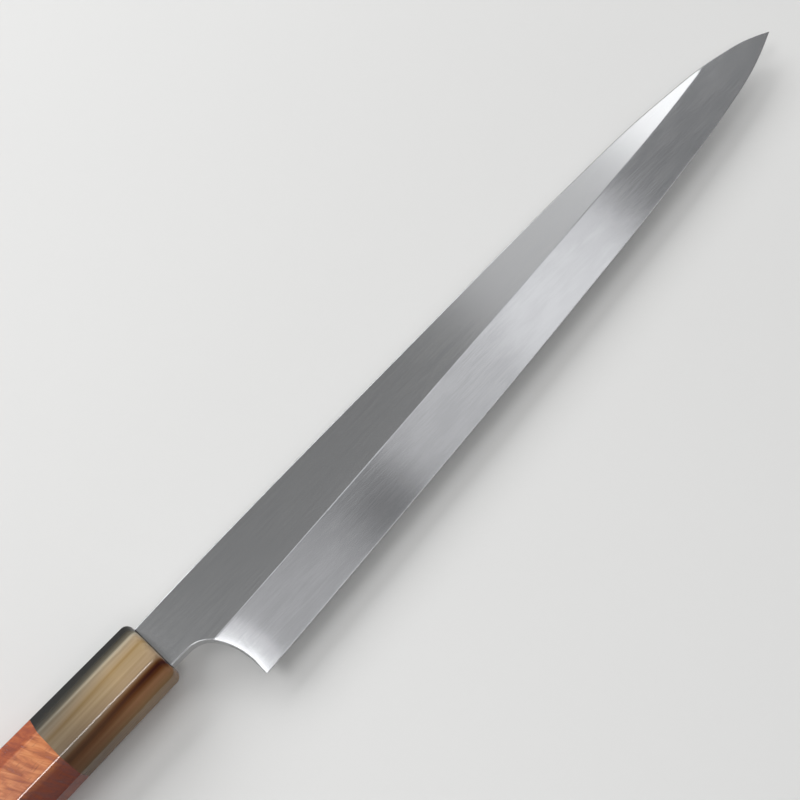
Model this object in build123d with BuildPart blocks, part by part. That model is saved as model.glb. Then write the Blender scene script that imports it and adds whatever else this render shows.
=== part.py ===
from build123d import *
import os

# Yanagiba: a long single-bevel slicing knife with an octagonal wooden handle, lying on its back.
# +X runs from the handle to the tip, +Y from the cutting edge to the spine, and +Z from the
# hollow-ground back to the bevelled front. The origin is on the handle's axis, at the front face
# of the ferrule, where the blade meets the handle. All sizes are in millimetres.

# Outline of the blade. Its heel and tip are 260 apart, which is sold as a 270 knife.
tip = (274.7, -2.95)
heel = (15.8, -26.7)
heel_straight = 4.6
neck_corner = (12.0, -10.3)
neck_end = (4.6, -7.3)
neck_top_y = 7.65
neck_low_y = -7.1
spine_points = [(16, 8.1), (110, 8.85), (180, 8.6), (226, 6.95), (255, 3.4), (267, 0.38)]
edge_points = [(82, -23.3), (155, -18.9), (209, -14.65), (238.5, -11.4), (261.6, -7.15)]

# Thickness of the blade, measured up from its flat back
back_z = -2.0
neck_thickness = 4.1
tip_thickness = 1.7
edge_land = 0.14
corner_break = 0.35

# Ridge line between the flat front face and the bevel. It meets the spine 25 short of the tip,
# and its last point and the edge's lie past the tip, where they only guide the bevel.
ridge_points = [(-6, -11.3), (26, -9.8), (106, -5.6), (176, -1.6), (225, 1.9), (249, 4.45), (284, 9.6)]
edge_before_heel = (-6, -27.9)
edge_past_tip = (284, 1.2)
bevel_start_x = 4
bevel_end_x = 282
bevel_spans = 12
bevel_overrun = 0.2
bevel_clearance = 8

# Hollow of the back, as ground by a large wheel
hollow_radius = 260
hollow_rim = 2.0
hollow_start_x = 20
hollow_end_x = 258
hollow_spans = 7

# Tang, which starts at the shoulders of the neck
tang_length = 98
tang_height = 9.5
tang_thickness = 3.4
tang_end_height = 5.0
tang_end_thickness = 2.2

# Handle: an octagon, a little higher than it is thick, that swells evenly towards the butt
handle_length = 140
ferrule_length = 34.5
front_height = 19.7
front_thickness = 18.2
butt_height = 22.0
flat_share = 0.43
facet_ridge_round = 0.3
ferrule_round = 2.2
butt_round = 1.6

# Joint inside the handle
ferrule_wall = 7.0
dowel_radius = 6.5
dowel_length = 104
glue_line = 0.05
slot_clearance = 0.15
mouth_gap = 0.35
shoulder_gap = 0.15
bed_recess = 0.25

os.makedirs("parts", exist_ok=True)


def front_z(x):
    """Gives the height of the flat front face, which falls evenly towards the tip."""
    return back_z + neck_thickness - (neck_thickness - tip_thickness) * x / tip[0]


def y_at(curve, x):
    """Gives how far to the spine side a line of the blade passes at a place along it."""
    before = 0.0
    after = 1.0
    for _ in range(30):
        middle = (before + after) / 2
        if (curve @ middle).X < x:
            before = middle
        else:
            after = middle
    return (curve @ before).Y


def hollow_section(x, low_y, high_y):
    """Draws the hollow of the back across the blade: an arc of the wheel over a strip to cut away."""
    depth = (high_y - low_y) ** 2 / (8 * hollow_radius)
    with BuildLine() as outline:
        arc = ThreePointArc(
            (x, low_y, back_z),
            (x, (low_y + high_y) / 2, back_z + depth),
            (x, high_y, back_z),
        )
        Polyline(arc @ 1, (x, high_y, back_z - 1), (x, low_y, back_z - 1), arc @ 0)
    return Face(outline.wire())


def rectangle_section(x, height, thickness):
    """Draws a section of the tang, or of the slot that takes it."""
    with BuildSketch(Plane.YZ.offset(x)) as section:
        Rectangle(height, thickness)
    return section.sketch


def octagon_corners(x):
    """Gives the eight corners of the handle at a place along it, in order round its axis."""
    swell = 1 + (butt_height / front_height - 1) * -x / handle_length
    half_height = front_height / 2 * swell
    half_thickness = front_thickness / 2 * swell
    half_ring = [
        (half_height, half_thickness * flat_share),
        (half_height * flat_share, half_thickness),
        (-half_height * flat_share, half_thickness),
        (-half_height, half_thickness * flat_share),
    ]
    other_half = [(-y, -z) for y, z in half_ring]
    return [Vector(x, y, z) for y, z in half_ring + other_half]


# Lines that guide the bevel. Both run on past the heel and the tip.
ridge_line = Edge.make_spline([Vector(*point) for point in ridge_points])
edge_line = Edge.make_spline(
    [Vector(*point) for point in [edge_before_heel, heel, *edge_points, tip, edge_past_tip]]
)

# Blade: the blank is cut to its outline, and its front face falls towards the tip.
with BuildPart() as blade:
    with BuildSketch(Plane.XY.offset(back_z)):
        with BuildLine():
            spine_line = Spline((shoulder_gap, neck_top_y), *spine_points, tip)
            Spline(heel, *edge_points, tip)
            heel_side = Line(heel, (heel[0], heel[1] + heel_straight))
            heel_arc = TangentArc(heel_side @ 1, neck_corner, tangent=heel_side % 1)
            neck_arc = TangentArc(neck_corner, neck_end, tangent=heel_arc % 1)
            Polyline(neck_end, (shoulder_gap, neck_low_y), (shoulder_gap, neck_top_y))
        make_face()
    extrude(amount=neck_thickness * 1.2)
    taper = (neck_thickness - tip_thickness) / tip[0]
    front_plane = Plane(origin=(0, 0, front_z(0)), x_dir=(0, 1, 0), z_dir=(taper, 0, 1))
    split(bisect_by=front_plane, keep=Keep.BOTTOM)

# The bevel is one ruled surface from the ridge line down to the cutting edge.
upper_guide = []
lower_guide = []
for span in range(bevel_spans + 1):
    x = bevel_start_x + (bevel_end_x - bevel_start_x) * span / bevel_spans
    on_ridge = Vector(x, y_at(ridge_line, x), front_z(x))
    on_edge = Vector(x, y_at(edge_line, x), back_z + edge_land)
    overrun = (on_ridge - on_edge) * bevel_overrun
    upper_guide.append(on_ridge + overrun)
    lower_guide.append(on_edge - overrun)
bevel_surface = Face.make_surface_from_curves(Edge.make_spline(upper_guide), Edge.make_spline(lower_guide))
bevel_waste = extrude(bevel_surface, amount=bevel_clearance, dir=(0, 0, 1))

# The hollow leaves a rim of even width along the neck, the heel, the edge and the spine.
hollow_sections = []
for arc in [neck_arc, heel_arc]:
    for share in [1.0, 0.75, 0.5, 0.25]:
        rim_point = arc @ share + (arc % share).rotate(Axis.Z, -90) * hollow_rim
        high_y = y_at(spine_line, rim_point.X) - hollow_rim
        hollow_sections.append(hollow_section(rim_point.X, rim_point.Y, high_y))
for span in range(hollow_spans + 1):
    x = hollow_start_x + (hollow_end_x - hollow_start_x) * span / hollow_spans
    low_y = y_at(edge_line, x) + hollow_rim
    high_y = y_at(spine_line, x) - hollow_rim
    hollow_sections.append(hollow_section(x, low_y, high_y))
hollow_waste = loft(hollow_sections, ruled=True)

# The corners are broken along the whole spine and along the front of the neck.
with blade:
    add(bevel_waste, mode=Mode.SUBTRACT)
    add(hollow_waste, mode=Mode.SUBTRACT)
    spine_corners = blade.edges().filter_by(
        lambda edge: edge.center().Y > spine_points[0][1] and edge.length > tip[0] / 2
    )
    chamfer(spine_corners, corner_break)
    neck_corners = blade.edges().filter_by(
        lambda edge: edge.center().X < heel[0]
        and neck_corner[1] - 1 < edge.center().Y < neck_low_y + 0.5
        and edge.center().Z > front_z(heel[0]) - 0.1
    )
    chamfer(neck_corners, corner_break)
    loft(
        [
            rectangle_section(shoulder_gap, tang_height, tang_thickness),
            rectangle_section(-tang_length, tang_end_height, tang_end_thickness),
        ],
        ruled=True,
    )

# The horn and the wood of the handle are ground together, as one octagon with flat facets.
front_corners = octagon_corners(0)
butt_corners = octagon_corners(-handle_length)
facets = [Face(Wire.make_polygon(front_corners)), Face(Wire.make_polygon(butt_corners))]
for this, corner in enumerate(front_corners):
    facets.append(
        Face(Wire.make_polygon([corner, front_corners[this - 1], butt_corners[this - 1], butt_corners[this]]))
    )
octagon = Solid(Shell(facets))

with BuildPart() as handle_blank:
    add(octagon)
    fillet(handle_blank.edges().filter_by(lambda edge: edge.length > ferrule_length), facet_ridge_round)
    fillet(handle_blank.faces().sort_by(Axis.X)[-1].edges(), ferrule_round)
    fillet(handle_blank.faces().sort_by(Axis.X)[0].edges(), butt_round)

# Horn ferrule: bored from behind for the dowel, with a mouth in front that takes the tang
mouth_height = tang_height + 2 * mouth_gap
mouth_thickness = tang_thickness + 2 * mouth_gap
with BuildPart() as ferrule:
    add(handle_blank.part)
    split(bisect_by=Plane.YZ.offset(-ferrule_length), keep=Keep.TOP)
    with BuildSketch(Plane.YZ.offset(-ferrule_length)):
        Circle(dowel_radius + glue_line)
    extrude(amount=ferrule_length - ferrule_wall, mode=Mode.SUBTRACT)
    with BuildSketch(Plane.YZ):
        Rectangle(mouth_height, mouth_thickness)
    extrude(amount=-ferrule_wall, mode=Mode.SUBTRACT)

# Resin that fills the mouth round the tang and beds the shoulders of the neck on the ferrule
with BuildPart() as tang_seal:
    with BuildSketch(Plane.YZ):
        Rectangle(mouth_height, mouth_thickness)
    extrude(amount=-ferrule_wall)
    with BuildSketch(Plane.YZ):
        with Locations(((neck_top_y + neck_low_y) / 2, back_z + neck_thickness / 2)):
            Rectangle(neck_top_y - neck_low_y - 2 * bed_recess, neck_thickness - 2 * bed_recess)
    extrude(amount=shoulder_gap)
    add(blade.part, mode=Mode.SUBTRACT)

# Softwood dowel that joins the ferrule to the wood and holds the tang in a tapered slot
with BuildPart() as inner_dowel:
    with BuildSketch(Plane.YZ.offset(-ferrule_wall)):
        Circle(dowel_radius)
    extrude(amount=-dowel_length)
    loft(
        [
            rectangle_section(
                shoulder_gap,
                tang_height + 2 * slot_clearance,
                tang_thickness + 2 * slot_clearance,
            ),
            rectangle_section(
                -tang_length - slot_clearance,
                tang_end_height + 2 * slot_clearance,
                tang_end_thickness + 2 * slot_clearance,
            ),
        ],
        ruled=True,
        mode=Mode.SUBTRACT,
    )

# Wooden grip, bored blind for the dowel
with BuildPart() as handle_body:
    add(handle_blank.part)
    split(bisect_by=Plane.YZ.offset(-ferrule_length), keep=Keep.BOTTOM)
    with BuildSketch(Plane.YZ.offset(-ferrule_length)):
        Circle(dowel_radius + glue_line)
    extrude(amount=ferrule_length - ferrule_wall - dowel_length, mode=Mode.SUBTRACT)

blade.part.label = "blade"
ferrule.part.label = "ferrule"
tang_seal.part.label = "tang_seal"
inner_dowel.part.label = "inner_dowel"
handle_body.part.label = "handle_body"

for piece in [blade, ferrule, tang_seal, inner_dowel, handle_body]:
    export_step(piece.part, f"parts/{piece.part.label}.step")
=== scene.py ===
"""Dresses the yanagiba: a single-bevel blade in an octagonal handle of horn and figured wood."""

import logging
import math
from collections.abc import Callable, Sequence
from dataclasses import dataclass, field
from enum import Enum
from typing import Any

import bmesh
import bpy
from mathutils import Matrix, Vector


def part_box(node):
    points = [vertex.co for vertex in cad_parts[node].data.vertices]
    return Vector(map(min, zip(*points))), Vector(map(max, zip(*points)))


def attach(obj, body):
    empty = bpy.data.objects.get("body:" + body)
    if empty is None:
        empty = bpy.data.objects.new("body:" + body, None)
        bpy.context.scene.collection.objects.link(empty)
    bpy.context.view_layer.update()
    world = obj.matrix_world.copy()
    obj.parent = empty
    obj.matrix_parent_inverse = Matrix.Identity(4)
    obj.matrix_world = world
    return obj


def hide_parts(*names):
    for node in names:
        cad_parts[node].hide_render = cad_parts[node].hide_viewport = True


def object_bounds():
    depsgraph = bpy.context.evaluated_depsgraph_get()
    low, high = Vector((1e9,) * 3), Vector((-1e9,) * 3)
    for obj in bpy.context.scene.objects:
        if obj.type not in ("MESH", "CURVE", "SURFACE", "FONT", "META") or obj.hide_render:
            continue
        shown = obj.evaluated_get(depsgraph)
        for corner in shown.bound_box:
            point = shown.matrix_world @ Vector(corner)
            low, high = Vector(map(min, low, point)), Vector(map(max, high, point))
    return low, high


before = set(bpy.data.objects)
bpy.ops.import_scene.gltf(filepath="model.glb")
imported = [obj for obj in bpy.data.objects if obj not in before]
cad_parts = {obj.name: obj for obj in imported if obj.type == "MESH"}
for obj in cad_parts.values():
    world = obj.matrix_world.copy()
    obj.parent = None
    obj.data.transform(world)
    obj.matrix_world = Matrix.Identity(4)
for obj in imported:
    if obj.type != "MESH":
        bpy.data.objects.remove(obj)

CAD_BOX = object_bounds()
LOG = logging.getLogger("yanagiba")
MM = 0.001
BODY = "root"
TOUCH = 0.001 * MM
NEARLY = 0.9
TINT = {"data_type": "RGBA", "blend_type": "MULTIPLY"}

Triple = tuple[float, float, float]
Points = tuple[tuple[float, float], ...]
Stops = tuple[tuple[float, str], ...]


def linear(code: str) -> tuple[float, float, float, float]:
    """Turns an sRGB hex colour into the linear colour that a shader takes.

    Args:
        code: six hex digits, red first.

    Returns:
        Linear red, green and blue, and an alpha of 1.
    """
    shares = [int(code[start : start + 2], 16) / 255 for start in (0, 2, 4)]
    red, green, blue = [s / 12.92 if s <= 0.04045 else ((s + 0.055) / 1.055) ** 2.4 for s in shares]
    return red, green, blue, 1.0


def take_up(piece: bpy.types.Object) -> None:
    """Selects a piece, and nothing else."""
    bpy.ops.object.select_all(action="DESELECT")
    piece.select_set(True)
    bpy.context.view_layer.objects.active = piece


class Part(Enum):
    """What a selection in edit mode is made of."""

    CORNERS = "VERT"
    EDGES = "EDGE"
    FACES = "FACE"


class Bench:
    """Holds one piece in edit mode and selects its corners, edges or faces by where they are."""

    def __init__(self, piece: bpy.types.Object) -> None:
        """Keeps the piece to be worked on."""
        self.piece = piece

    def __enter__(self) -> "Bench":
        """Puts the piece alone in edit mode, with nothing selected."""
        take_up(self.piece)
        bpy.ops.object.mode_set(mode="EDIT")
        bpy.ops.mesh.select_all(action="DESELECT")
        return self

    def __exit__(self, *problem: object) -> None:
        """Takes the piece back to object mode."""
        bpy.ops.object.mode_set(mode="OBJECT")

    def mesh(self) -> bmesh.types.BMesh:
        """Gives the mesh as it is in edit mode now."""
        mesh = bmesh.from_edit_mesh(self.piece.data)
        for group in (mesh.verts, mesh.edges, mesh.faces):
            group.ensure_lookup_table()
        return mesh

    def pick(self, part: Part, test: Callable[[Any], bool]) -> list[int]:
        """Selects what passes a test, and nothing else.

        Args:
            part: whether corners, edges or faces are selected.
            test: takes a mesh element and says whether it is wanted.

        Returns:
            The indices of what is selected.
        """
        bpy.ops.mesh.select_mode(type=part.value)
        bpy.ops.mesh.select_all(action="DESELECT")
        mesh = self.mesh()
        group = {Part.CORNERS: mesh.verts, Part.EDGES: mesh.edges, Part.FACES: mesh.faces}[part]
        wanted = [element for element in group if test(element)]
        for element in wanted:
            element.select = True
        mesh.select_flush_mode()
        bmesh.update_edit_mesh(self.piece.data)
        return [element.index for element in wanted]

    def carry(self, corner: int, place: Vector) -> None:
        """Moves one corner of the mesh to a place.

        Args:
            corner: the corner's index.
            place: where it goes, in metres.
        """
        bpy.ops.mesh.select_all(action="DESELECT")
        mesh = self.mesh()
        mesh.verts[corner].select = True
        mesh.select_flush_mode()
        bpy.ops.transform.translate(value=place - mesh.verts[corner].co)

    def extrude_ring(self, ring: Sequence[int], places: Sequence[Vector]) -> list[int]:
        """Extrudes the face inside a ring of corners and carries its new corners to their places.

        Args:
            ring: the indices of the face's corners, in order.
            places: where the new corners go, in the same order.

        Returns:
            The indices of the new corners, in the same order.
        """
        bpy.ops.mesh.select_all(action="DESELECT")
        mesh = self.mesh()
        for corner in ring:
            mesh.verts[corner].select = True
        mesh.select_flush_mode()
        bpy.ops.mesh.extrude_region_move()
        mesh = self.mesh()
        new_ring = []
        for corner in ring:
            old = mesh.verts[corner]
            ends = [edge.other_vert(old) for edge in old.link_edges]
            new_ring.append(next(end.index for end in ends if end.select))
        for corner, place in zip(new_ring, places):
            self.carry(corner, place)
        return new_ring

    def close_up(self, gap: float) -> None:
        """Merges corners that lie together and turns every face outwards.

        Args:
            gap: how near two corners are to be one, in metres.
        """
        bpy.ops.mesh.select_all(action="SELECT")
        bpy.ops.mesh.remove_doubles(threshold=gap)
        bpy.ops.mesh.dissolve_degenerate(threshold=gap / 2)
        bpy.ops.mesh.select_all(action="SELECT")
        bpy.ops.mesh.normals_make_consistent(inside=False)

    def paint(self, slot: int, test: Callable[[Any], bool]) -> None:
        """Gives the faces that pass a test one of the piece's materials.

        Args:
            slot: the material's place in the piece's list.
            test: takes a face and says whether it gets the material.
        """
        if self.pick(Part.FACES, test):
            self.piece.active_material_index = slot
            bpy.ops.object.material_slot_assign()


def name_piece(name: str) -> bpy.types.Object:
    """Names the primitive that was just added and puts its place and turn into its mesh.

    Args:
        name: the piece's name.

    Returns:
        The piece, as an object at the origin.
    """
    piece = bpy.context.object
    piece.name = name
    piece.data.name = name
    bpy.ops.object.transform_apply(location=True, rotation=True, scale=True)
    return piece


def apply_modifier(piece: bpy.types.Object, kind: str, **settings: Any) -> None:
    """Adds a modifier to a piece and applies it at once.

    Args:
        piece: the piece it changes.
        kind: the modifier's type.
        settings: the modifier's properties by name.
    """
    take_up(piece)
    modifier = piece.modifiers.new(kind.title(), kind)
    for name, value in settings.items():
        setattr(modifier, name, value)
    bpy.ops.object.modifier_apply(modifier=modifier.name)


def cut_away(piece: bpy.types.Object, cutter: bpy.types.Object) -> None:
    """Cuts one closed mesh out of another and throws the cutter away.

    Args:
        piece: the piece that is cut.
        cutter: the shape of what is cut away.
    """
    apply_modifier(piece, "BOOLEAN", operation="DIFFERENCE", solver="EXACT", object=cutter)
    bpy.data.objects.remove(cutter)


def smooth_over(piece: bpy.types.Object, angle: float) -> None:
    """Shades a piece smooth where its faces turn a little, and keeps its large faces flat.

    Args:
        piece: the piece to shade.
        angle: the turn between faces up to which they are shaded as one, in degrees.
    """
    take_up(piece)
    bpy.ops.object.shade_smooth_by_angle(angle=math.radians(angle))
    apply_modifier(piece, "WEIGHTED_NORMAL", weight=50, keep_sharp=True)


def repeats(size: Triple) -> Vector:
    """Gives how often a pattern repeats in a metre along X, Y and Z, from its size in millimetres."""
    return Vector([1 / (length * MM) for length in size])


class Board:
    """The node board of a material or of the room, with the coordinates ready to use."""

    def __init__(self, owner: bpy.types.Material | bpy.types.World) -> None:
        """Clears the owner's nodes and lays out its coordinates."""
        owner.use_nodes = True
        self.tree = owner.node_tree
        self.tree.nodes.clear()
        self.coordinates = self.add("TexCoord").outputs
        self.place = self.coordinates["Object"]

    def add(self, kind: str, inputs: dict | None = None, **settings: Any) -> bpy.types.Node:
        """Adds a node with its settings and links.

        Args:
            kind: the node's type, without its ShaderNode prefix.
            inputs: by name or number, an input's value, the socket that it is linked to, or the node
                whose first socket it is linked to.
            settings: the node's properties; stops are a colour ramp's places and colours.

        Returns:
            The new node.
        """
        node = self.tree.nodes.new("ShaderNode" + kind)
        for name, value in settings.items():
            if name == "stops":
                ramp = node.color_ramp.elements
                while len(ramp) < len(value):
                    ramp.new(1.0)
                for element, (position, code) in zip(ramp, value):
                    element.position = position
                    element.color = linear(code)
            else:
                setattr(node, name, value)
        for key, value in (inputs or {}).items():
            if isinstance(value, bpy.types.Node):
                value = value.outputs[0]
            if isinstance(value, bpy.types.NodeSocket):
                self.tree.links.new(value, node.inputs[key])
            else:
                node.inputs[key].default_value = value
        return node


@dataclass(frozen=True)
class Finish:
    """A material and how it was worked. Each kind lays out its own nodes."""

    name: str = ""

    def lay_out(self, board: Board) -> dict:
        """Adds the finish's nodes.

        Args:
            board: the material's board.

        Returns:
            The shader's values or links, by name.
        """
        raise NotImplementedError

    def make(self) -> bpy.types.Material:
        """Makes the material.

        Returns:
            The material.
        """
        material = bpy.data.materials.new(self.name)
        board = Board(material)
        shader = board.add("BsdfPrincipled", self.lay_out(board))
        board.add("OutputMaterial", {"Surface": shader})
        return material


@dataclass(frozen=True)
class StonedSteel(Finish):
    """Carbon steel worked lengthwise on water stones, which leaves a hazy satin of fine scratches.

    The scratches spread a reflection across the bevel more than along it. Real ones are about
    0.02 mm wide, and are drawn 0.35 mm wide so that they show. The stones round the bevel a little
    towards the cut-out of the heel. One dimmer patch on the bevel is a painted reflection.
    """

    name: str = "stoned_carbon_steel"
    bright: str = "cacbce"
    dull: str = "c3c4c7"
    # The colour of the painted reflection patch, dimmer than the steel.
    reflection_dimmed: str = "b6b7ba"
    roughness: float = 0.16
    uneven: float = 0.015
    scratch: Triple = (9.0, 0.35, 0.35)
    cloud: Triple = (12.0, 5.0, 5.0)
    reflection_patch_centre: Triple = (73.0, -19.0, 0.0)
    # Where the painted reflection patch lies and how far it reaches.
    reflection_patch_reach: Triple = (17.0, 13.0, 60.0)
    arc_centre: Triple = (-4.42, -22.1, 0.0)
    arc_radius: float = 20.22
    roll_reach: float = 14.0
    roll_depth: float = 0.62
    roll_power: float = 2.2

    def painted_reflection_patch(self, board: Board) -> bpy.types.Node:
        """Adds a painted reflection: a dimmer patch of colour on the bevel.

        Args:
            board: the material's board.

        Returns:
            How much of the painted reflection is laid on, from 0 to 1.
        """
        centre = Vector(self.reflection_patch_centre) * MM
        away = board.add("VectorMath", {0: board.place, 1: centre}, operation="SUBTRACT")
        share = board.add("VectorMath", {0: away, 1: repeats(self.reflection_patch_reach)}, operation="MULTIPLY")
        length = board.add("VectorMath", {0: share}, operation="LENGTH")
        inputs = {"Value": length.outputs["Value"], "From Min": 1.0, "From Max": 0.0}
        return board.add("MapRange", inputs, interpolation_type="SMOOTHSTEP")

    def roll(self, board: Board) -> bpy.types.Node:
        """Adds how the bevel falls away towards the cut-out.

        Args:
            board: the material's board.

        Returns:
            The surface's height, from -1 at the cut-out to 0.
        """
        flat = board.add("VectorMath", {0: board.place, 1: Vector((1, 1, 0))}, operation="MULTIPLY")
        centre = Vector(self.arc_centre) * MM
        away = board.add("VectorMath", {0: flat, 1: centre}, operation="DISTANCE")
        inputs = {"Value": away.outputs["Value"], "From Min": self.arc_radius * MM}
        inputs |= {"From Max": (self.arc_radius + self.roll_reach) * MM, "To Min": 1.0, "To Max": 0.0}
        near = board.add("MapRange", inputs)
        power = board.add("Math", {0: near, 1: self.roll_power}, operation="POWER")
        return board.add("Math", {0: power, 1: -1.0}, operation="MULTIPLY")

    def lay_out(self, board: Board) -> dict:
        """Adds the finish's nodes.

        Args:
            board: the material's board.

        Returns:
            The shader's values or links, by name.
        """
        lengthwise = board.add("Mapping", {"Vector": board.place, "Scale": repeats(self.scratch)})
        scratches = board.add("TexNoise", {"Vector": lengthwise, "Scale": 1.0, "Detail": 2.0})
        broad = board.add("Mapping", {"Vector": board.place, "Scale": repeats(self.cloud)})
        clouds = board.add("TexNoise", {"Vector": broad, "Scale": 1.0, "Detail": 3.0})
        both = board.add("Math", {0: scratches, 1: clouds}, operation="ADD")
        half = board.add("Math", {0: both, 1: 0.5}, operation="MULTIPLY")
        worn = board.add("ValToRGB", {0: half}, stops=[(0.41, self.dull), (0.59, self.bright)])
        # Painted reflection: the bevel's colour is dimmed in one patch.
        inputs = {0: self.painted_reflection_patch(board), 6: worn, 7: linear(self.reflection_dimmed)}
        reflection_dimmed = board.add("Mix", inputs, data_type="RGBA")
        inputs = {"Value": scratches, "From Min": 0.3, "From Max": 0.7}
        inputs |= {"To Min": self.roughness - self.uneven, "To Max": self.roughness + self.uneven}
        streaks = board.add("MapRange", inputs)
        rolled = board.add("Bump", {"Distance": self.roll_depth * MM, "Height": self.roll(board)})
        inputs = {"Strength": 0.1, "Distance": 0.02 * MM, "Height": scratches, "Normal": rolled}
        lie = board.add("Bump", inputs)
        across = board.add("CombineXYZ", {"Y": 1.0})
        return {
            "Base Color": reflection_dimmed.outputs[2],
            "Metallic": 1.0,
            "Roughness": streaks,
            "Anisotropic": 0.5,
            "Tangent": across,
            "Normal": lie,
        }


@dataclass(frozen=True)
class GroundSteel(Finish):
    """Steel ground lengthwise, with fine lines that vary its tone and its polish a little."""

    bright: str = "ffffff"
    dull: str = "ffffff"
    roughness: float = 0.2
    uneven: float = 0.01
    line: Triple = (12.0, 0.3, 0.3)
    detail: float = 2.0
    spread: float = 0.0

    def lay_out(self, board: Board) -> dict:
        """Adds the finish's nodes. Where the lines spread a reflection, they have a relief too.

        Args:
            board: the material's board.

        Returns:
            The shader's values or links, by name.
        """
        lengthwise = board.add("Mapping", {"Vector": board.place, "Scale": repeats(self.line)})
        lines = board.add("TexNoise", {"Vector": lengthwise, "Scale": 1.0, "Detail": self.detail})
        colour = board.add("ValToRGB", {0: lines}, stops=[(0.35, self.dull), (0.65, self.bright)])
        inputs = {"Value": lines, "From Min": 0.3, "From Max": 0.7}
        inputs |= {"To Min": self.roughness - self.uneven, "To Max": self.roughness + self.uneven}
        polish = board.add("MapRange", inputs)
        values = {"Base Color": colour, "Metallic": 1.0, "Roughness": polish}
        if self.spread:
            lie = board.add("Bump", {"Strength": 0.1, "Distance": 0.02 * MM, "Height": lines})
            across = board.add("CombineXYZ", {"Y": 1.0})
            values |= {"Anisotropic": self.spread, "Tangent": across, "Normal": lie}
        return values


@dataclass(frozen=True)
class BuffedSteel(GroundSteel):
    """Carbon steel ground flat and buffed lengthwise: a smooth, even grey that mirrors softly.

    Its grain is drawn 0.3 mm wide, ten times the real width, so that it shows.
    """

    name: str = "buffed_carbon_steel"
    bright: str = "c8c9ca"
    dull: str = "c4c5c7"
    roughness: float = 0.17


@dataclass(frozen=True)
class WheelGroundSteel(GroundSteel):
    """Carbon steel hollowed on a large wheel: fine lines along the blade and a soft shine.

    The lines are drawn 0.4 mm apart, four times as far as the real ones, so that they show.
    """

    name: str = "wheel_ground_carbon_steel"
    bright: str = "c6c7c9"
    dull: str = "b6b7ba"
    roughness: float = 0.26
    uneven: float = 0.03
    line: Triple = (18.0, 0.4, 4.0)
    detail: float = 3.0
    spread: float = 0.4


@dataclass(frozen=True)
class PolishedHorn(Finish):
    """Water-buffalo horn, sanded and polished: glossy, a little see-through, in streaks of growth.

    Its banding runs along the handle and is listed from the edge's side to the spine's, where it
    darkens to near black: painted shade on the spine-side facets. One red-brown streak fades towards
    the wood, and painted shade darkens the whole horn towards the wood.
    """

    name: str = "polished_buffalo_horn"
    # Horn banding. The stops from 0.752 on darken to near black as painted shade on the spine-side
    # facets.
    layers_and_painted_shade: Stops = (
        (0.00, "806748"), (0.10, "986f4f"), (0.20, "926843"), (0.245, "9f7c5a"), (0.28, "b19a7e"),
        (0.50, "b9a27e"), (0.553, "a88d62"), (0.61, "b9a486"), (0.71, "a89e88"), (0.752, "5f594b"),
        (0.80, "454033"), (0.85, "252116"), (0.90, "050403"),
    )
    streak: Stops = (
        (0.115, "ffffff"), (0.160, "b89359"), (0.192, "703010"),
        (0.203, "703010"), (0.228, "b08a5a"), (0.255, "ffffff"),
    )
    spread: float = 10.4
    bend: float = 0.4
    lean: float = -0.015
    # Painted shade: the horn darkens towards the wood.
    shaded: Stops = ((0.0, "b8b8bc"), (0.75, "ffffff"))
    length: float = 34.5
    wander: Triple = (45.0, 6.0, 6.0)
    fibre: Triple = (40.0, 0.9, 0.9)

    def lay_out(self, board: Board) -> dict:
        """Adds the finish's nodes.

        Args:
            board: the material's board.

        Returns:
            The shader's values or links, by name.
        """
        slow = board.add("Mapping", {"Vector": board.place, "Scale": repeats(self.wander)})
        drift = board.add("TexNoise", {"Vector": slow, "Scale": 1.0, "Detail": 1.0})
        inputs = {"Value": drift, "From Min": 0.3, "From Max": 0.7}
        inputs |= {"To Min": -self.bend * MM, "To Max": self.bend * MM}
        shift = board.add("MapRange", inputs)
        parts = board.add("SeparateXYZ", {0: board.place})
        inputs = {0: parts.outputs["X"], 1: self.lean, 2: shift}
        skewed = board.add("Math", inputs, operation="MULTIPLY_ADD")
        bent = board.add("Math", {0: parts.outputs["Y"], 1: skewed}, operation="ADD")
        middle = -self.lean * self.length / 2
        inputs = {"Value": bent, "From Min": (middle - self.spread) * MM}
        inputs |= {"From Max": (middle + self.spread) * MM}
        share = board.add("MapRange", inputs)
        # Horn banding, with painted shade on the spine-side facets.
        layers_and_painted_shade = board.add("ValToRGB", {0: share}, stops=self.layers_and_painted_shade)
        inputs = {"Value": parts.outputs["X"], "From Min": -self.length * MM, "From Max": 0.0}
        along = board.add("MapRange", inputs, interpolation_type="SMOOTHSTEP")
        streak = board.add("ValToRGB", {0: share}, stops=self.streak)
        depth = board.add("MapRange", {"Value": along, "To Min": 0.5, "To Max": 1.0})
        grown = board.add("Mix", {0: depth, 6: layers_and_painted_shade, 7: streak}, **TINT)
        # Painted shade, darker towards the wood.
        shaded = board.add("ValToRGB", {0: along}, stops=self.shaded)
        darker = board.add("Mix", {0: 1.0, 6: grown.outputs[2], 7: shaded}, **TINT)
        lengthwise = board.add("Mapping", {"Vector": board.place, "Scale": repeats(self.fibre)})
        fibres = board.add("TexNoise", {"Vector": lengthwise, "Scale": 1.0, "Detail": 2.0})
        tint = board.add("ValToRGB", {0: fibres}, stops=[(0.3, "d2cabb"), (0.7, "ffffff")])
        streaked = board.add("Mix", {0: 0.6, 6: darker.outputs[2], 7: tint}, **TINT)
        return {
            "Base Color": streaked.outputs[2],
            "Roughness": 0.17,
            "IOR": 1.55,
            "Specular IOR Level": 0.14,
            "Subsurface Weight": 0.15,
            "Subsurface Radius": Vector((1.0, 0.7, 0.4)),
            "Subsurface Scale": 1.2 * MM,
        }


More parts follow.
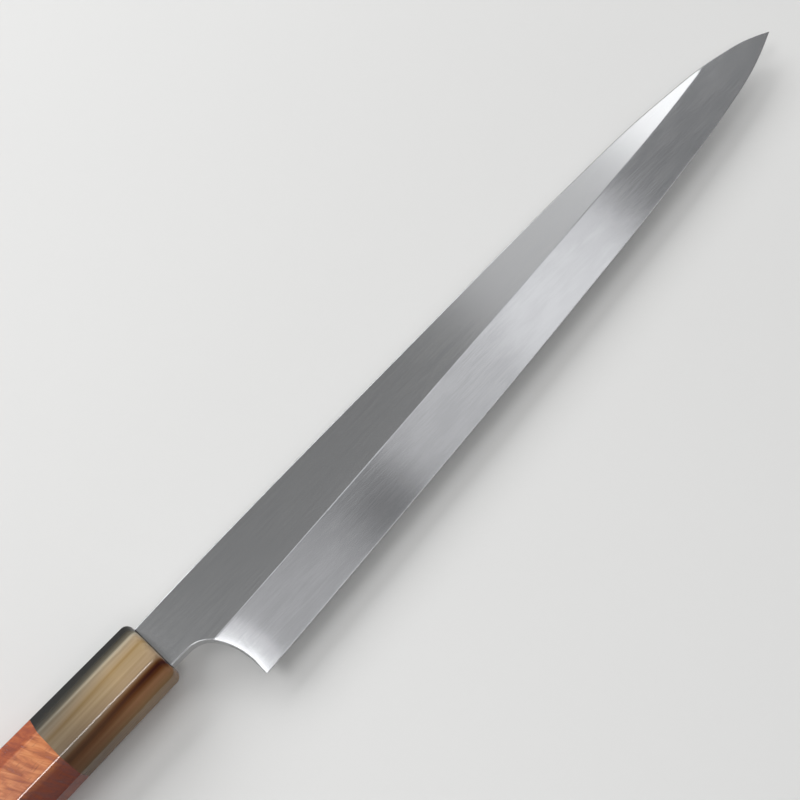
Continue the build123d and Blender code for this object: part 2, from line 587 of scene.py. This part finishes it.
@dataclass(frozen=True)
class PolishedBurl(Finish):
    """Figured red-brown hardwood, oiled and polished: fine curls, short dark pores, a low shine.

    Painted shade darkens the board from its middle to both side facets, which are listed from the
    edge's side to the spine's.
    """

    name: str = "polished_figured_hardwood"
    stops: Stops = ((0.28, "8f431b"), (0.42, "b05f2d"), (0.54, "c5743b"), (0.70, "d68b52"))
    # Painted shade on the side facets, from the edge's side to the spine's.
    painted_side_shade: Stops = ((0.20, "9d6e42"), (0.31, "ffffff"), (0.69, "ffffff"), (0.76, "d0a66c"))
    half_height: float = 10.0
    curl: Triple = (7.0, 1.3, 5.0)
    curl_turn: float = -65.0
    cloud: Triple = (14.0, 8.0, 8.0)
    pore: Triple = (3.0, 0.35, 0.35)

    def lay_out(self, board: Board) -> dict:
        """Adds the finish's nodes.

        Args:
            board: the material's board.

        Returns:
            The shader's values or links, by name.
        """
        inputs = {"Vector": board.place, "Scale": Vector(self.curl) * MM}
        inputs |= {"Rotation": Vector((0, 0, math.radians(self.curl_turn)))}
        figure = board.add("Mapping", inputs, vector_type="TEXTURE")
        inputs = {"Vector": figure, "Scale": 1.0, "Detail": 5.0, "Distortion": 0.9}
        curls = board.add("TexNoise", inputs)
        colour = board.add("ValToRGB", {0: curls}, stops=self.stops)
        grain = board.add("Mapping", {"Vector": board.place, "Scale": repeats(self.pore)})
        pores = board.add("TexNoise", {"Vector": grain, "Scale": 1.0, "Detail": 2.0, "Distortion": 0.3})
        dark = board.add("ValToRGB", {0: pores}, stops=[(0.28, "7a5848"), (0.40, "ffffff")])
        pored = board.add("Mix", {0: 0.45, 6: colour, 7: dark}, **TINT)
        broad = board.add("Mapping", {"Vector": board.place, "Scale": repeats(self.cloud)})
        clouds = board.add("TexNoise", {"Vector": broad, "Scale": 1.0, "Detail": 2.0})
        tone = board.add("ValToRGB", {0: clouds}, stops=[(0.35, "dcc3b6"), (0.6, "ffffff")])
        clouded = board.add("Mix", {0: 0.8, 6: pored.outputs[2], 7: tone}, **TINT)
        # Painted shade: the side facets are darkened across Y.
        parts = board.add("SeparateXYZ", {0: board.place})
        inputs = {"Value": parts.outputs["Y"], "From Min": -self.half_height * MM}
        inputs |= {"From Max": self.half_height * MM}
        share = board.add("MapRange", inputs)
        painted_side_shade = board.add("ValToRGB", {0: share}, stops=self.painted_side_shade)
        side_shaded = board.add("Mix", {0: 1.0, 6: clouded.outputs[2], 7: painted_side_shade}, **TINT)
        inputs = {"Value": curls, "From Min": 0.3, "From Max": 0.7, "To Min": 0.28, "To Max": 0.2}
        shine = board.add("MapRange", inputs)
        return {
            "Base Color": side_shaded.outputs[2],
            "Roughness": shine,
            "IOR": 1.5,
            "Specular IOR Level": 0.35,
        }


@dataclass(frozen=True)
class TurnedSoftwood(Finish):
    """Plain softwood turned to a peg: pale, dry, with straight grain."""

    name: str = "turned_softwood"
    grain: Triple = (40.0, 0.9, 0.9)

    def lay_out(self, board: Board) -> dict:
        """Adds the finish's nodes.

        Args:
            board: the material's board.

        Returns:
            The shader's values or links, by name.
        """
        lengthwise = board.add("Mapping", {"Vector": board.place, "Scale": repeats(self.grain)})
        grain = board.add("TexNoise", {"Vector": lengthwise, "Scale": 1.0, "Detail": 3.0})
        colour = board.add("ValToRGB", {0: grain}, stops=[(0.35, "c39a63"), (0.65, "e0c08f")])
        return {"Base Color": colour, "Roughness": 0.7}


@dataclass(frozen=True)
class SetResin(Finish):
    """Dark resin that set in the mouth of the handle: nearly black, with a dull, uneven skin."""

    name: str = "set_dark_resin"
    lump: Triple = (1.5, 1.5, 1.5)

    def lay_out(self, board: Board) -> dict:
        """Adds the finish's nodes.

        Args:
            board: the material's board.

        Returns:
            The shader's values or links, by name.
        """
        lumps = board.add("Mapping", {"Vector": board.place, "Scale": repeats(self.lump)})
        skin = board.add("TexNoise", {"Vector": lumps, "Scale": 1.0, "Detail": 2.0})
        colour = board.add("ValToRGB", {0: skin}, stops=[(0.3, "1c120b"), (0.7, "35251a")])
        inputs = {"Value": skin, "From Min": 0.3, "From Max": 0.7, "To Min": 0.4, "To Max": 0.6}
        dull = board.add("MapRange", inputs)
        return {"Base Color": colour, "Roughness": dull}


@dataclass(frozen=True)
class MattPaper(Finish):
    """Uncoated pale paper under the knife: matt, and slightly uneven in tone."""

    name: str = "matt_paper"
    cloud: Triple = (400.0, 400.0, 400.0)

    def lay_out(self, board: Board) -> dict:
        """Adds the finish's nodes.

        Args:
            board: the material's board.

        Returns:
            The shader's values or links, by name.
        """
        broad = board.add("Mapping", {"Vector": board.place, "Scale": repeats(self.cloud)})
        clouds = board.add("TexNoise", {"Vector": broad, "Scale": 1.0, "Detail": 2.0})
        colour = board.add("ValToRGB", {0: clouds}, stops=[(0.3, "dededd"), (0.7, "e2e2e1")])
        return {"Base Color": colour, "Roughness": 0.9}


@dataclass(frozen=True)
class Line:
    """A smooth line along the blade, through a few points in millimetres."""

    points: Points

    def slopes(self) -> list[float]:
        """Gives the line's slope at each of its points."""
        pairs = list(zip(self.points, self.points[1:]))
        rises = [(end[1] - start[1]) / (end[0] - start[0]) for start, end in pairs]
        runs = [end[0] - start[0] for start, end in pairs]
        inner = [
            (rises[i] * runs[i + 1] + rises[i + 1] * runs[i]) / (runs[i] + runs[i + 1])
            for i in range(len(rises) - 1)
        ]
        return [2 * rises[0] - inner[0], *inner, 2 * rises[-1] - inner[-1]]

    def y(self, x: float) -> float:
        """Gives how far to the spine side the line passes.

        Args:
            x: the place along the blade, in millimetres.

        Returns:
            The line's Y there, in millimetres.
        """
        last = len(self.points) - 2
        span = min(sum(1 for point in self.points[1:] if point[0] < x), last)
        start, end = self.points[span], self.points[span + 1]
        slope = self.slopes()
        run = end[0] - start[0]
        share = (x - start[0]) / run
        rest = 1 - share
        return (
            (1 + 2 * share) * rest**2 * start[1]
            + share * rest**2 * run * slope[span]
            + share**2 * (3 - 2 * share) * end[1]
            - share**2 * rest * run * slope[span + 1]
        )


@dataclass(frozen=True)
class Station:
    """One cut across the blade, from a point on its lower outline to one on its spine."""

    low: Vector
    inward: Vector
    high: Vector
    low_break: float


@dataclass
class Blade:
    """The blade with its tang, in millimetres: one closed mesh of steel."""

    node: str = "blade"
    slot: str = "blade_steel"
    tip_y: float = -2.95
    heel: tuple[float, float] = (15.8, -26.7)
    heel_arc: Triple = (-4.42, -22.1, 20.22)
    neck_arc: Triple = (5.92, -14.67, 7.49)
    arcs_meet: float = 35.7
    neck_low_y: float = -7.1
    spine_points: Points = (
        (0.15, 7.65), (16, 8.1), (110, 8.85), (180, 8.6), (226, 6.95), (255, 3.4), (267, 0.38),
    )
    before_heel: tuple[float, float] = (-6, -27.9)
    edge_points: Points = (
        (15.8, -26.7), (82, -23.3), (155, -18.9), (209, -14.65), (238.5, -11.4), (261.6, -7.15),
    )
    ridge_points: Points = (
        (-6, -11.3), (26, -9.8), (106, -5.6), (176, -1.6), (225, 1.9), (249, 4.45), (284, 9.6),
    )
    back_z: float = -2.0
    neck_thickness: float = 4.1
    tip_thickness: float = 1.7
    edge_land: float = 0.14
    corner_break: float = 0.25
    neck_break: float = 0.35
    edge_break: float = 0.14
    foot_break: float = 0.12
    break_fade: float = 3.0
    corner_ease: float = 0.12
    ridge_round: tuple[float, float] = (0.45, 0.12)
    rim: float = 2.0
    wheel_radius: float = 260.0
    hollow_rows: int = 7
    hollow_start: float = 6.0
    hollow_end: float = 262.0
    hollow_fade: tuple[float, float] = (8.0, 15.0)
    tang_height: float = 9.5
    tang_thickness: float = 3.4
    tang_taper: Triple = (1.0, 0.53, 0.65)
    shoulder: float = 0.15
    neck_cuts: tuple[float, ...] = (1.5, 3.5)
    arc_cuts: tuple[int, int] = (8, 12)
    heel_cuts: int = 4
    heel_turn: float = 12.0
    edge_stations: int = 56
    edge_crowding: float = 1.25
    lead: float = 7.5
    lead_reach: float = 150.0
    upper_rows: range = range(1, 9)
    weld_gap: float = 0.004
    smooth_angle: float = 60.0
    tip: Vector = field(init=False)
    tang_end: float = field(init=False)
    spine: Line = field(init=False)
    edge: Line = field(init=False)
    edge_guide: Line = field(init=False)
    ridge: Line = field(init=False)

    def __post_init__(self) -> None:
        """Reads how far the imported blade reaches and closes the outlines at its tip."""
        low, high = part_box(self.node)
        self.tip = Vector((high.x / MM, self.tip_y))
        self.tang_end = low.x / MM
        self.spine = Line((*self.spine_points, tuple(self.tip)))
        self.edge = Line((*self.edge_points, tuple(self.tip)))
        self.edge_guide = Line((self.before_heel, *self.edge_points, tuple(self.tip)))
        self.ridge = Line(self.ridge_points)

    def front_z(self, x: float) -> float:
        """Gives the height of the flat front face, which falls towards the tip."""
        fall = (self.neck_thickness - self.tip_thickness) * x / self.tip.x
        return self.back_z + self.neck_thickness - fall

    def top_z(self, place: Vector) -> float:
        """Gives the height of the blade's upper side: the flat, or the bevel below the ridge.

        Args:
            place: the X and Y of a point of the blade.

        Returns:
            The height there, in millimetres.
        """
        foot = self.edge_guide.y(place.x)
        share = (place.y - foot) / (self.ridge.y(place.x) - foot)
        land = self.back_z + self.edge_land
        return land + (self.front_z(place.x) - land) * min(max(share, 0.0), 1.0)

    def stations(self) -> list[Station]:
        """Sets out the cuts along the neck, round the cut-out and the heel, and along the edge."""
        heel = Vector(self.heel)
        lows = [
            (Vector((x, self.neck_low_y)), Vector((0, 1)), self.neck_break)
            for x in (self.shoulder, *self.neck_cuts)
        ]
        for (middle_x, middle_y, radius), start, end, count in (
            (self.neck_arc, 90.0, self.arcs_meet, self.arc_cuts[0]),
            (self.heel_arc, self.arcs_meet, 0.0, self.arc_cuts[1]),
        ):
            for step in range(count):
                angle = math.radians(start + (end - start) * step / count)
                outward = Vector((math.cos(angle), math.sin(angle)))
                lows.append((Vector((middle_x, middle_y)) + outward * radius, outward, self.neck_break))
        straight = self.heel_arc[1] - heel.y
        for step in range(self.heel_cuts + 1):
            share = step / self.heel_cuts
            fade = min(straight * share / self.break_fade, 1.0)
            low_break = self.neck_break + (self.edge_break - self.neck_break) * fade
            low = Vector((heel.x, self.heel_arc[1] - straight * share))
            lows.append((low, Vector((1, share)), low_break))
        before_edge = len(lows)
        for step in range(1, self.edge_stations):
            share = 1 - (1 - step / self.edge_stations) ** self.edge_crowding
            x = heel.x + (self.tip.x - heel.x) * share
            lean = max(0.0, 1 - (x - heel.x) / self.heel_turn) ** 2
            lows.append((Vector((x, self.edge.y(x))), Vector((lean, 1)), self.edge_break))
        stations = []
        for number, (low, inward, low_break) in enumerate(lows):
            fade = max(0.0, 1 - (low.x - heel.x) / self.lead_reach)
            ahead = self.lead * min(number / before_edge, 1.0) * fade
            x = self.shoulder if number == 0 else min(low.x + ahead, self.tip.x)
            stations.append(Station(low, inward, Vector((x, self.spine.y(x))), low_break))
        return stations

    def ring(self, station: Station) -> list[Vector]:
        """Gives the corners of one cut across the blade.

        Where the blade narrows to its tip, the breaks and the rim keep to a share of what is left.

        Args:
            station: where the blade is cut.

        Returns:
            The corners from the foot of the lower wall, up over the ridge and down the spine, then
            the rows of the hollow on the way back. The upper rows are those above the back.
        """
        low, high = station.low, station.high
        span = (high - low).length
        low_top, high_top = self.top_z(low), self.top_z(high)
        low_height, high_height = low_top - self.back_z, high_top - self.back_z
        low_break = min(station.low_break, span * 0.1)
        drop = min(self.corner_break, low_height * 0.6)
        foot = min(self.foot_break, low_height * 0.15)
        high_break = min(self.corner_break, high_height * 0.28, span * 0.2)
        ease = min(self.corner_ease, span * 0.1)
        inset = min(self.rim, span * 0.3)
        start = low + station.inward * low_break
        end = high - Vector((0, high_break))
        low_rest = start + station.inward.normalized() * ease
        high_rest = end - Vector((0, ease))
        upper = [start, low_rest, *self.ridge_pair(low_rest, high_rest), high_rest, end]
        corners = [(low, self.back_z + foot), (low, low_top - drop)]
        corners += [(place, self.top_z(place)) for place in upper]
        corners += [(high, high_top - high_break), (high, self.back_z + high_break), (end, self.back_z)]
        rim_low = low + station.inward * inset
        rim_high = high - Vector((0, inset))
        depth = (rim_high - rim_low).length ** 2 / (8 * self.wheel_radius) * self.hollow_share(low.x)
        for row in range(self.hollow_rows + 2):
            share = row / (self.hollow_rows + 1)
            rise = depth * (1 - (2 * share - 1) ** 2)
            corners.append((rim_high.lerp(rim_low, share), self.back_z + rise))
        corners.append((low + station.inward * foot, self.back_z))
        return [Vector((place.x, place.y, z)) * MM for place, z in corners]

    def hollow_share(self, x: float) -> float:
        """Gives how much of its full depth the hollow has at a place along the blade."""
        behind = (x - self.hollow_start) / self.hollow_fade[0]
        ahead = (self.hollow_end - x) / self.hollow_fade[1]
        share = min(max(behind, 0.0), max(ahead, 0.0), 1.0)
        return share * share * (3 - 2 * share)

    def ridge_pair(self, start: Vector, end: Vector) -> tuple[Vector, Vector]:
        """Finds where a cut crosses the ridge line, and the two corners that round the ridge there.

        Args:
            start: where the cut's level part begins, by the cutting edge or the cut-out.
            end: where it ends, by the spine.

        Returns:
            The corner below the ridge and the one above it, or twice an end that is past the ridge.
        """
        if start.y >= self.ridge.y(start.x):
            return start, start
        if end.y <= self.ridge.y(end.x):
            return end, end
        below, above = 0.0, 1.0
        for _ in range(24):
            middle = (below + above) / 2
            place = start.lerp(end, middle)
            if place.y < self.ridge.y(place.x):
                below = middle
            else:
                above = middle
        along = (end - start).length
        before = below - min(self.ridge_round[0] / along, below * 0.3)
        after = below + min(self.ridge_round[1] / along, (1 - below) * 0.3)
        return start.lerp(end, before), start.lerp(end, after)

    def tip_ring(self, corners: int) -> list[Vector]:
        """Gathers the last cut at the tip, which keeps a little thickness.

        Args:
            corners: how many corners a cut has.

        Returns:
            The cut's corners.
        """
        top = self.back_z + self.edge_land
        heights = [top if row in self.upper_rows else self.back_z for row in range(corners)]
        return [Vector((self.tip.x, self.tip.y, z)) * MM for z in heights]

    def build(self) -> bpy.types.Object:
        """Models the blade and its tang from the shoulders outwards.

        Returns:
            The blade, as one closed mesh.
        """
        rings = [self.ring(station) for station in self.stations()]
        rings.append(self.tip_ring(len(rings[0])))
        bpy.ops.object.select_all(action="DESELECT")
        bpy.ops.mesh.primitive_circle_add(
            vertices=len(rings[0]),
            radius=self.tang_height * MM,
            fill_type="NGON",
            location=(self.shoulder * MM, 0, 0),
            rotation=(0, math.pi / 2, 0),
        )
        piece = name_piece("blade_steel_body")
        with Bench(piece) as bench:
            shoulder_ring = list(range(len(rings[0])))
            for corner, place in zip(shoulder_ring, rings[0]):
                bench.carry(corner, place)
            last_ring = shoulder_ring
            for places in rings[1:]:
                last_ring = bench.extrude_ring(last_ring, places)
            self.draw_tang(bench, shoulder_ring, rings[0])
            bench.close_up(self.weld_gap * MM)
        return piece

    def draw_tang(self, bench: Bench, ring: Sequence[int], places: Sequence[Vector]) -> None:
        """Draws the tang out of the shoulders, tapering to its end.

        Args:
            bench: the bench that holds the blade.
            ring: the corners of the shoulder face.
            places: where those corners are.
        """
        reach_y = self.tang_height / 2 * MM
        reach_z = self.tang_thickness / 2 * MM
        root = []
        for place in places:
            y = min(max(place.y, -reach_y), reach_y)
            root.append(Vector((place.x, y, min(max(place.z, -reach_z), reach_z))))
        root_ring = bench.extrude_ring(ring, root)
        bench.pick(Part.CORNERS, lambda corner: corner.index in root_ring)
        along = Vector((self.tang_end - self.shoulder, 0, 0)) * MM
        bpy.ops.mesh.extrude_region_move(TRANSFORM_OT_translate={"value": along})
        end = Vector((self.tang_end * MM, 0, 0))
        bpy.ops.transform.resize(value=self.tang_taper, center_override=end)

    def dress(self, piece: bpy.types.Object) -> None:
        """Gives the bevel, the flat, the walls and the back their finishes, and shades the piece.

        Args:
            piece: the blade.
        """
        for finish in (BuffedSteel(), StonedSteel(), WheelGroundSteel()):
            piece.data.materials.append(finish.make())

        def on_bevel(face: Any) -> bool:
            """Says whether a face is part of the bevel, and not of the breaks of its edges."""
            middle = face.calc_center_median() / MM
            return face.normal.z > 0.94 and middle.x > 0 and middle.y < self.ridge.y(middle.x)

        with Bench(piece) as bench:
            bench.paint(1, on_bevel)
            bench.paint(2, lambda face: face.normal.z < -0.7)
        smooth_over(piece, self.smooth_angle)


@dataclass
class HandlePart:
    """A length of the octagonal handle, in millimetres, between a front end and a back end."""

    node: str
    slot: str
    finish: Finish
    front_height: float = 19.7
    front_thickness: float = 18.2
    butt_height: float = 22.0
    handle_length: float = 140.0
    flat_share: float = 0.43
    ridge_round: float = 0.4
    ridge_turn: float = 20.0
    bore_radius: float = 6.55
    overcut: float = 2.0
    smooth_angle: float = 40.0
    front: float = field(init=False)
    back: float = field(init=False)

    def __post_init__(self) -> None:
        """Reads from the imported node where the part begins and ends."""
        low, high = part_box(self.node)
        self.front = high.x / MM
        self.back = low.x / MM

    def swell(self, x: float) -> float:
        """Gives how much larger the octagon is at a place than at the front of the handle."""
        return 1 + (self.butt_height / self.front_height - 1) * -x / self.handle_length

    def shape_bar(self, name: str) -> bpy.types.Object:
        """Models the octagonal bar: a block with its long edges cut off, that swells backwards.

        Args:
            name: the piece's name.

        Returns:
            The bar, with sharp ridges and ends.
        """
        scale = self.swell(self.front)
        size = (self.front - self.back, self.front_height * scale, self.front_thickness * scale)
        middle = ((self.front + self.back) / 2 * MM, 0, 0)
        bpy.ops.object.select_all(action="DESELECT")
        bpy.ops.mesh.primitive_cube_add(size=1, location=middle, scale=Vector(size) * MM)
        piece = name_piece(name)
        with Bench(piece) as bench:
            bench.pick(Part.EDGES, self.is_lengthwise)
            bpy.ops.mesh.bevel(offset_type="PERCENT", offset_pct=50 * (1 - self.flat_share), segments=1)
            bench.pick(Part.FACES, lambda face: face.normal.x < -NEARLY)
            more = self.swell(self.back) / scale
            bpy.ops.transform.resize(value=(1, more, more), center_override=(self.back * MM, 0, 0))
        return piece

    @staticmethod
    def is_lengthwise(edge: Any) -> bool:
        """Says whether an edge runs along the handle."""
        along = edge.verts[1].co - edge.verts[0].co
        return abs(along.x) > NEARLY * along.length

    def round_end(self, bench: Bench, side: float, radius: float) -> None:
        """Rounds the rim of one end.

        Args:
            bench: the bench that holds the part.
            side: 1 for the front end, -1 for the back end.
            radius: the rounding, in millimetres.
        """
        end = (self.front if side > 0 else self.back) * MM
        bench.pick(Part.EDGES, lambda edge: all(abs(c.co.x - end) < TOUCH for c in edge.verts))
        bpy.ops.mesh.bevel(offset=radius * MM, segments=8, profile=0.5, clamp_overlap=True)

    def round_ridges(self, bench: Bench) -> None:
        """Takes the sharpness off the eight long ridges, over the rounded end too.

        Args:
            bench: the bench that holds the part.
        """
        bench.pick(Part.EDGES, self.is_ridge)
        bpy.ops.mesh.bevel(offset=self.ridge_round * MM, segments=3, profile=0.5, clamp_overlap=True)

    def is_ridge(self, edge: Any) -> bool:
        """Says whether two facets of the octagon meet at an edge."""
        if len(edge.link_faces) != 2 or abs(edge.verts[0].co.x - edge.verts[1].co.x) < TOUCH:
            return False
        first, second = (face.normal for face in edge.link_faces)
        return math.degrees(first.angle(second)) > self.ridge_turn

    def bore(self, piece: bpy.types.Object, depth: float) -> None:
        """Bores the part for the dowel.

        Args:
            piece: the part.
            depth: how far it is bored from the joint between horn and wood, in millimetres.
        """
        joint = self.back if depth > 0 else self.front
        bpy.ops.object.select_all(action="DESELECT")
        bpy.ops.mesh.primitive_cylinder_add(
            vertices=64,
            radius=self.bore_radius * MM,
            depth=(abs(depth) + self.overcut) * MM,
            location=((joint + (depth - math.copysign(self.overcut, depth)) / 2) * MM, 0, 0),
            rotation=(0, math.pi / 2, 0),
        )
        cut_away(piece, name_piece("bore_cutter"))

    def dress(self, piece: bpy.types.Object) -> None:
        """Gives the part its finish and shades it.

        Args:
            piece: the part.
        """
        piece.data.materials.append(self.finish.make())
        smooth_over(piece, self.smooth_angle)


@dataclass
class Ferrule(HandlePart):
    """The horn ferrule, rounded at its front and open for the tang and the dowel."""

    node: str = "ferrule"
    slot: str = "horn"
    finish: Finish = PolishedHorn()
    front_round: float = 2.2
    wall: float = 7.0
    mouth: tuple[float, float] = (10.2, 4.1)

    def build(self) -> bpy.types.Object:
        """Models the ferrule.

        Returns:
            The ferrule, as one closed mesh.
        """
        piece = self.shape_bar("horn_ferrule")
        with Bench(piece) as bench:
            self.round_end(bench, 1, self.front_round)
            self.round_ridges(bench)
        self.bore(piece, self.front - self.wall - self.back)
        bpy.ops.object.select_all(action="DESELECT")
        bpy.ops.mesh.primitive_cube_add(
            size=1,
            location=(self.front * MM, 0, 0),
            scale=Vector((2 * self.wall + self.overcut, *self.mouth)) * MM,
        )
        cut_away(piece, name_piece("mouth_cutter"))
        return piece


@dataclass
class Grip(HandlePart):
    """The wooden grip, bored blind at its front and rounded at its butt."""

    node: str = "handle_body"
    slot: str = "handle_wood"
    finish: Finish = PolishedBurl()
    butt_round: float = 1.6
    bore_end: float = -111.0

    def build(self) -> bpy.types.Object:
        """Models the grip.

        Returns:
            The grip, as one closed mesh.
        """
        piece = self.shape_bar("wooden_grip")
        with Bench(piece) as bench:
            self.round_end(bench, -1, self.butt_round)
            self.round_ridges(bench)
        self.bore(piece, self.bore_end - self.front)
        return piece


@dataclass(frozen=True)
class Panel:
    """A soft light panel over the knife: level, or tilted about its long side. Sizes are in metres.

    A panel that shines on named pieces is seen in their polish alone, and lights nothing.
    """

    name: str
    centre: Triple
    size: tuple[float, float]
    radiance: float
    tilt: float = 0.0
    shines_on: tuple[str, ...] = ()

    def hang(self) -> None:
        """Hangs the panel."""
        data = bpy.data.lights.new(self.name, "AREA")
        data.shape = "RECTANGLE"
        data.size, data.size_y = self.size
        data.energy = self.radiance * math.pi * self.size[0] * self.size[1]
        lamp = bpy.data.objects.new(self.name, data)
        bpy.context.scene.collection.objects.link(lamp)
        lamp.visible_camera = False
        if self.shines_on:
            lamp.visible_diffuse = False
            group = bpy.data.collections.new(self.name)
            for name in self.shines_on:
                group.objects.link(bpy.data.objects[name])
            lamp.light_linking.receiver_collection = group
        turn = Matrix.Rotation(math.radians(self.tilt), 4, "X")
        lamp.matrix_world = Matrix.Translation(self.centre) @ turn


@dataclass
class Studio:
    """The floor, the light and the camera. Places are in metres."""

    panels: tuple[Panel, ...] = (
        Panel("key_panel", (0.10, 1.35, 0.95), (1.80, 0.90), 4.0, -50.0),
        Panel("handle_panel", (-0.42, 0.33, 1.0), (0.48, 0.50), 4.5),
        Panel("handle_strip", (-0.2, -1, 1), (0.46, 1), 30.0, 0.0, ("horn_ferrule", "wooden_grip")),
        Panel("heel_panel", (-0.30, -0.39, 1.0), (0.36, 0.46), 2.9),
        Panel("cut_out_panel", (-0.24, -0.39, 1.0), (0.48, 0.46), 0.8),
        Panel("neck_panel", (0.08, -0.26, 1.0), (0.32, 0.24), 0.35),
        Panel("edge_strip", (0.60, -0.85, 1.0), (1.20, 0.70), 1.3, 0.0, ("blade_steel_body",)),
        Panel("ridge_panel", (0.25, 0.07, 1.0), (0.90, 0.18), 0.75),
        Panel("bevel_panel", (0.43, -0.14, 1.0), (0.20, 0.22), 0.5),
        Panel("far_bevel_panel", (0.645, -0.08, 1.0), (0.23, 0.26), 0.95),
        Panel("flat_panel", (0.675, 0.38, 1.0), (0.29, 0.32), 0.5),
        Panel("tip_panel", (1.065, 0.38, 1.0), (0.44, 0.40), 1.7),
    )
    dim: str = "8c8c8c"
    pale: str = "e2e2e2"
    floor_size: float = 30.0
    floor_gap: float = 0.02 * MM
    camera_place: Triple = (0.0123, -0.0969, 0.3171)
    camera_right: Triple = (0.6744, -0.7371, -0.0430)
    camera_up: Triple = (0.6953, 0.6144, 0.3731)
    lens: float = 53.07

    def lay_floor(self) -> None:
        """Lays the pale floor just under the knife."""
        bpy.ops.object.select_all(action="DESELECT")
        height = CAD_BOX[0].z - self.floor_gap
        bpy.ops.mesh.primitive_plane_add(size=self.floor_size, location=(0, 0, height))
        floor = name_piece("floor")
        floor.data.materials.append(MattPaper().make())

    def light_up(self) -> None:
        """Hangs the panels and gives the room its tone, pale near the floor and dim overhead.

        The camera itself sees the room as pale all over.
        """
        for panel in self.panels:
            panel.hang()
        world = bpy.data.worlds.new("studio")
        bpy.context.scene.world = world
        board = Board(world)
        parts = board.add("SeparateXYZ", {0: board.coordinates["Generated"]})
        stops = [(0.18, self.pale), (0.32, self.dim)]
        room = board.add("ValToRGB", {0: parts.outputs["Z"]}, stops=stops)
        seen = board.add("LightPath").outputs["Is Camera Ray"]
        tone = board.add("Mix", {0: seen, 6: room, 7: linear(self.pale)}, data_type="RGBA")
        light = board.add("Background", {"Color": tone.outputs[2]})
        board.add("OutputWorld", {"Surface": light})

    def set_camera(self) -> None:
        """Puts the camera where the photograph was taken from."""
        data = bpy.data.cameras.new("camera")
        data.lens = self.lens
        data.clip_start = 0.005
        camera = bpy.data.objects.new("camera", data)
        bpy.context.scene.collection.objects.link(camera)
        right = Vector(self.camera_right).normalized()
        back = right.cross(Vector(self.camera_up)).normalized()
        turn = Matrix((right, back.cross(right), back)).transposed()
        camera.matrix_world = Matrix.Translation(self.camera_place) @ turn.to_4x4()
        bpy.context.scene.camera = camera


def place_piece(piece: bpy.types.Object, node: str) -> None:
    """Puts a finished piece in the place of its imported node, and logs its size.

    Args:
        piece: the finished piece.
        node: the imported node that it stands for.
    """
    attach(piece, BODY)
    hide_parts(node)
    LOG.info("%s: %d faces", piece.name, len(piece.data.polygons))


def dress_node(node: str, finish: Finish) -> None:
    """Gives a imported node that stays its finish.

    Args:
        node: the node's name.
        finish: the finish.
    """
    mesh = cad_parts[node].data
    mesh.materials.clear()
    mesh.materials.append(finish.make())
    LOG.info("%s: packed node, dressed", node)


def main() -> None:
    """Builds the knife, then the studio, and logs how many faces each built piece has."""
    logging.basicConfig(level=logging.INFO, format="%(message)s")
    bpy.context.scene.view_settings.view_transform = "Standard"
    for maker in (Blade(), Ferrule(), Grip()):
        piece = maker.build()
        maker.dress(piece)
        place_piece(piece, maker.node)
    dress_node("inner_dowel", TurnedSoftwood())
    dress_node("tang_seal", SetResin())
    studio = Studio()
    studio.lay_floor()
    studio.light_up()
    studio.set_camera()


if __name__ == "__main__":
    main()
